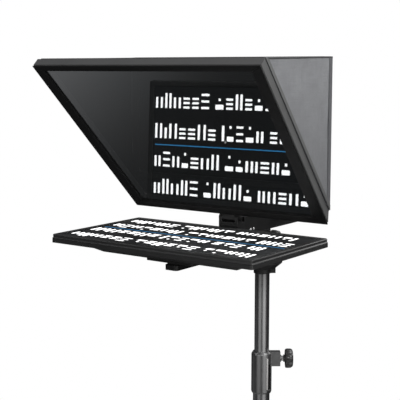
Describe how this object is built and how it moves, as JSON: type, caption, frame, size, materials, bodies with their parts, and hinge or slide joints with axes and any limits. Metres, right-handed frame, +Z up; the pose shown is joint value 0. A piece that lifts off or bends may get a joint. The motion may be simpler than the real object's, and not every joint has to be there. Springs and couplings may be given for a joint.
{
  "type": "teleprompter",
  "caption": "Free-standing teleprompter: sloped beam-splitter glass in a folding hood above a flat monitor, on a tilt and pan head and a telescoping column with folding legs.",
  "frame": {"origin": "on the floor at the middle of the footprint, with the stand's legs open", "axes": "+Z up, -Y towards the presenter who reads the glass, +Y towards the camera, +X to the presenter's right-hand side of the glass as seen from the front"},
  "size_m": [0.9346, 0.814, 1.525],
  "materials": {
    "tube_black": "satin black powder coat on steel tube",
    "cast_black": "satin black powder coat on cast aluminium",
    "collar_grey": "dark grey powder coat on cast aluminium",
    "knob_black": "moulded glass-filled nylon",
    "rubber_black": "matt rubber",
    "nylon_white": "natural nylon",
    "zinc_steel": "bright zinc plate",
    "plate_black": "black anodised, fine bead-blast",
    "monitor_black": "fine spark-textured moulding",
    "screen_black": "hard-coated panel, lit from behind",
    "diffuser_white": "light guide in a white tray",
    "board_green": "printed circuit board",
    "board_tan": "printed circuit board",
    "key_grey": "satin moulded keys",
    "frame_black": "black powder coat on extrusion",
    "bezel_black": "satin black moulding",
    "splitter_glass": "coated beam-splitter glass",
    "fabric_grey": "taut coated polyester, stiffened",
    "fabric_black": "light-tight black cloth",
    "strip_black": "edge channel that grips the fabric"
  },
  "bodies": {
    "stand": {"lower_tube": "tube_black", "leg_hub": "cast_black", "front_leg": "tube_black", "front_foot": "rubber_black", "leg_lock_ring": "cast_black", "collar": "collar_grey", "collar_bush": "nylon_white"},
    "left_leg_swing": {"left_leg": "tube_black", "left_foot": "rubber_black"},
    "right_leg_swing": {"right_leg": "tube_black", "right_foot": "rubber_black"},
    "leg_lock": {"leg_knob": "knob_black"},
    "collar_lock": {"collar_stud": "zinc_steel", "collar_knob": "knob_black"},
    "column": {"upper_tube": "tube_black", "guide_bush": "nylon_white", "head_base": "cast_black"},
    "pan_lock": {"pan_knob": "knob_black"},
    "pan": {"pan_clevis": "cast_black", "tilt_bolt": "zinc_steel"},
    "tilt_lock": {"tilt_knob": "knob_black"},
    "head": {"tilt_bracket": "cast_black", "lower_arm": "plate_black", "vesa_plate": "plate_black", "vesa_screws": "zinc_steel", "riser": "plate_black", "camera_beam": "plate_black", "beam_screws": "zinc_steel", "hood_bracket": "plate_black", "hinge_pin": "zinc_steel", "monitor_cover": "monitor_black", "monitor_bezel": "monitor_black", "lcd_panel": "screen_black", "backlight": "diffuser_white", "main_board": "board_green", "power_board": "board_tan", "cover_screws": "zinc_steel", "port_block": "monitor_black"},
    "riser_lock": {"riser_knob": "knob_black"},
    "carriage": {"camera_carriage": "plate_black", "camera_platform": "plate_black", "platform_pads": "rubber_black"},
    "carriage_lock": {"carriage_knob": "knob_black"},
    "camera_fixing": {"camera_screw": "zinc_steel"},
    "glass_frame": {"frame_rails": "frame_black", "frame_bezel": "bezel_black", "beam_splitter": "splitter_glass", "glass_gasket": "rubber_black", "hinge_lugs": "plate_black", "edge_strips": "strip_black", "hood_top": "fabric_grey", "hood_sides": "fabric_grey", "rear_flap": "fabric_black"},
    "rear_frame": {"rear_frame": "plate_black", "rear_curtain": "fabric_black"},
    "power_key": {"power_button": "key_grey"},
    "key_1": {"button_1": "key_grey"},
    "key_2": {"button_2": "key_grey"},
    "key_3": {"button_3": "key_grey"},
    "key_4": {"button_4": "key_grey"}
  },
  "joints": [
    {"name": "left_leg_fold", "type": "hinge", "parent": "stand", "child": "left_leg_swing", "pos_m": [0, 0.13, 0.1805], "axis": [0, 0, 1], "range_deg": [0, 100]},
    {"name": "right_leg_fold", "type": "hinge", "parent": "stand", "child": "right_leg_swing", "pos_m": [0, 0.13, 0.211], "axis": [0, 0, -1], "range_deg": [0, 100]},
    {"name": "leg_lock_turn", "type": "hinge", "parent": "stand", "child": "leg_lock", "pos_m": [0, 0.19, 0.24], "axis": [0, 1, 0], "range_deg": [0, 360]},
    {"name": "collar_lock_turn", "type": "hinge", "parent": "stand", "child": "collar_lock", "pos_m": [0.04879, 0.16493, 0.812], "axis": [0.8131, 0.5821, 0], "range_deg": [0, 360]},
    {"name": "column_height", "type": "slide", "parent": "stand", "child": "column", "axis": [0, 0, 1], "range_m": [-0.17, 0.15]},
    {"name": "pan_lock_turn", "type": "hinge", "parent": "column", "child": "pan_lock", "pos_m": [-0.05, 0.13, 1.037], "axis": [-1, 0, 0], "range_deg": [0, 270]},
    {"name": "head_pan", "type": "hinge", "parent": "column", "child": "pan", "pos_m": [0, 0.13, 1.052], "axis": [0, 0, 1], "range_deg": [-90, 90]},
    {"name": "tilt_lock_turn", "type": "hinge", "parent": "pan", "child": "tilt_lock", "pos_m": [0.03, 0.13, 1.068], "axis": [1, 0, 0], "range_deg": [0, 270]},
    {"name": "head_tilt", "type": "hinge", "parent": "pan", "child": "head", "pos_m": [0, 0.13, 1.068], "axis": [1, 0, 0], "range_deg": [-15, 15]},
    {"name": "riser_lock_turn", "type": "hinge", "parent": "head", "child": "riser_lock", "pos_m": [0.045, 0.11, 1.116], "axis": [1, 0, 0], "range_deg": [0, 270]},
    {"name": "carriage_slide", "type": "slide", "parent": "head", "child": "carriage", "axis": [0, 1, 0], "range_m": [-0.06, 0.06]},
    {"name": "carriage_lock_turn", "type": "hinge", "parent": "carriage", "child": "carriage_lock", "pos_m": [0.042, 0.177, 1.161], "axis": [1, 0, 0], "range_deg": [0, 270]},
    {"name": "camera_screw_turn", "type": "hinge", "parent": "carriage", "child": "camera_fixing", "pos_m": [0, 0.177, 1.2], "axis": [0, 0, 1], "continuous": true},
    {"name": "glass_fold", "type": "hinge", "parent": "head", "child": "glass_frame", "pos_m": [0, -0.006, 1.17], "axis": [1, 0, 0], "range_deg": [0, 45]},
    {"name": "rear_frame_fold", "type": "hinge", "parent": "glass_frame", "child": "rear_frame", "pos_m": [0, -0.032, 1.236], "axis": [1, 0, 0], "range_deg": [0, 42]},
    {"name": "power_press", "type": "slide", "parent": "head", "child": "power_key", "axis": [0, 0, 1], "range_m": [0, 0.0008], "stiffness_N_per_m": 800},
    {"name": "key_1_press", "type": "slide", "parent": "head", "child": "key_1", "axis": [0, 0, 1], "range_m": [0, 0.0008], "stiffness_N_per_m": 800},
    {"name": "key_2_press", "type": "slide", "parent": "head", "child": "key_2", "axis": [0, 0, 1], "range_m": [0, 0.0008], "stiffness_N_per_m": 800},
    {"name": "key_3_press", "type": "slide", "parent": "head", "child": "key_3", "axis": [0, 0, 1], "range_m": [0, 0.0008], "stiffness_N_per_m": 800},
    {"name": "key_4_press", "type": "slide", "parent": "head", "child": "key_4", "axis": [0, 0, 1], "range_m": [0, 0.0008], "stiffness_N_per_m": 800}
  ]
}
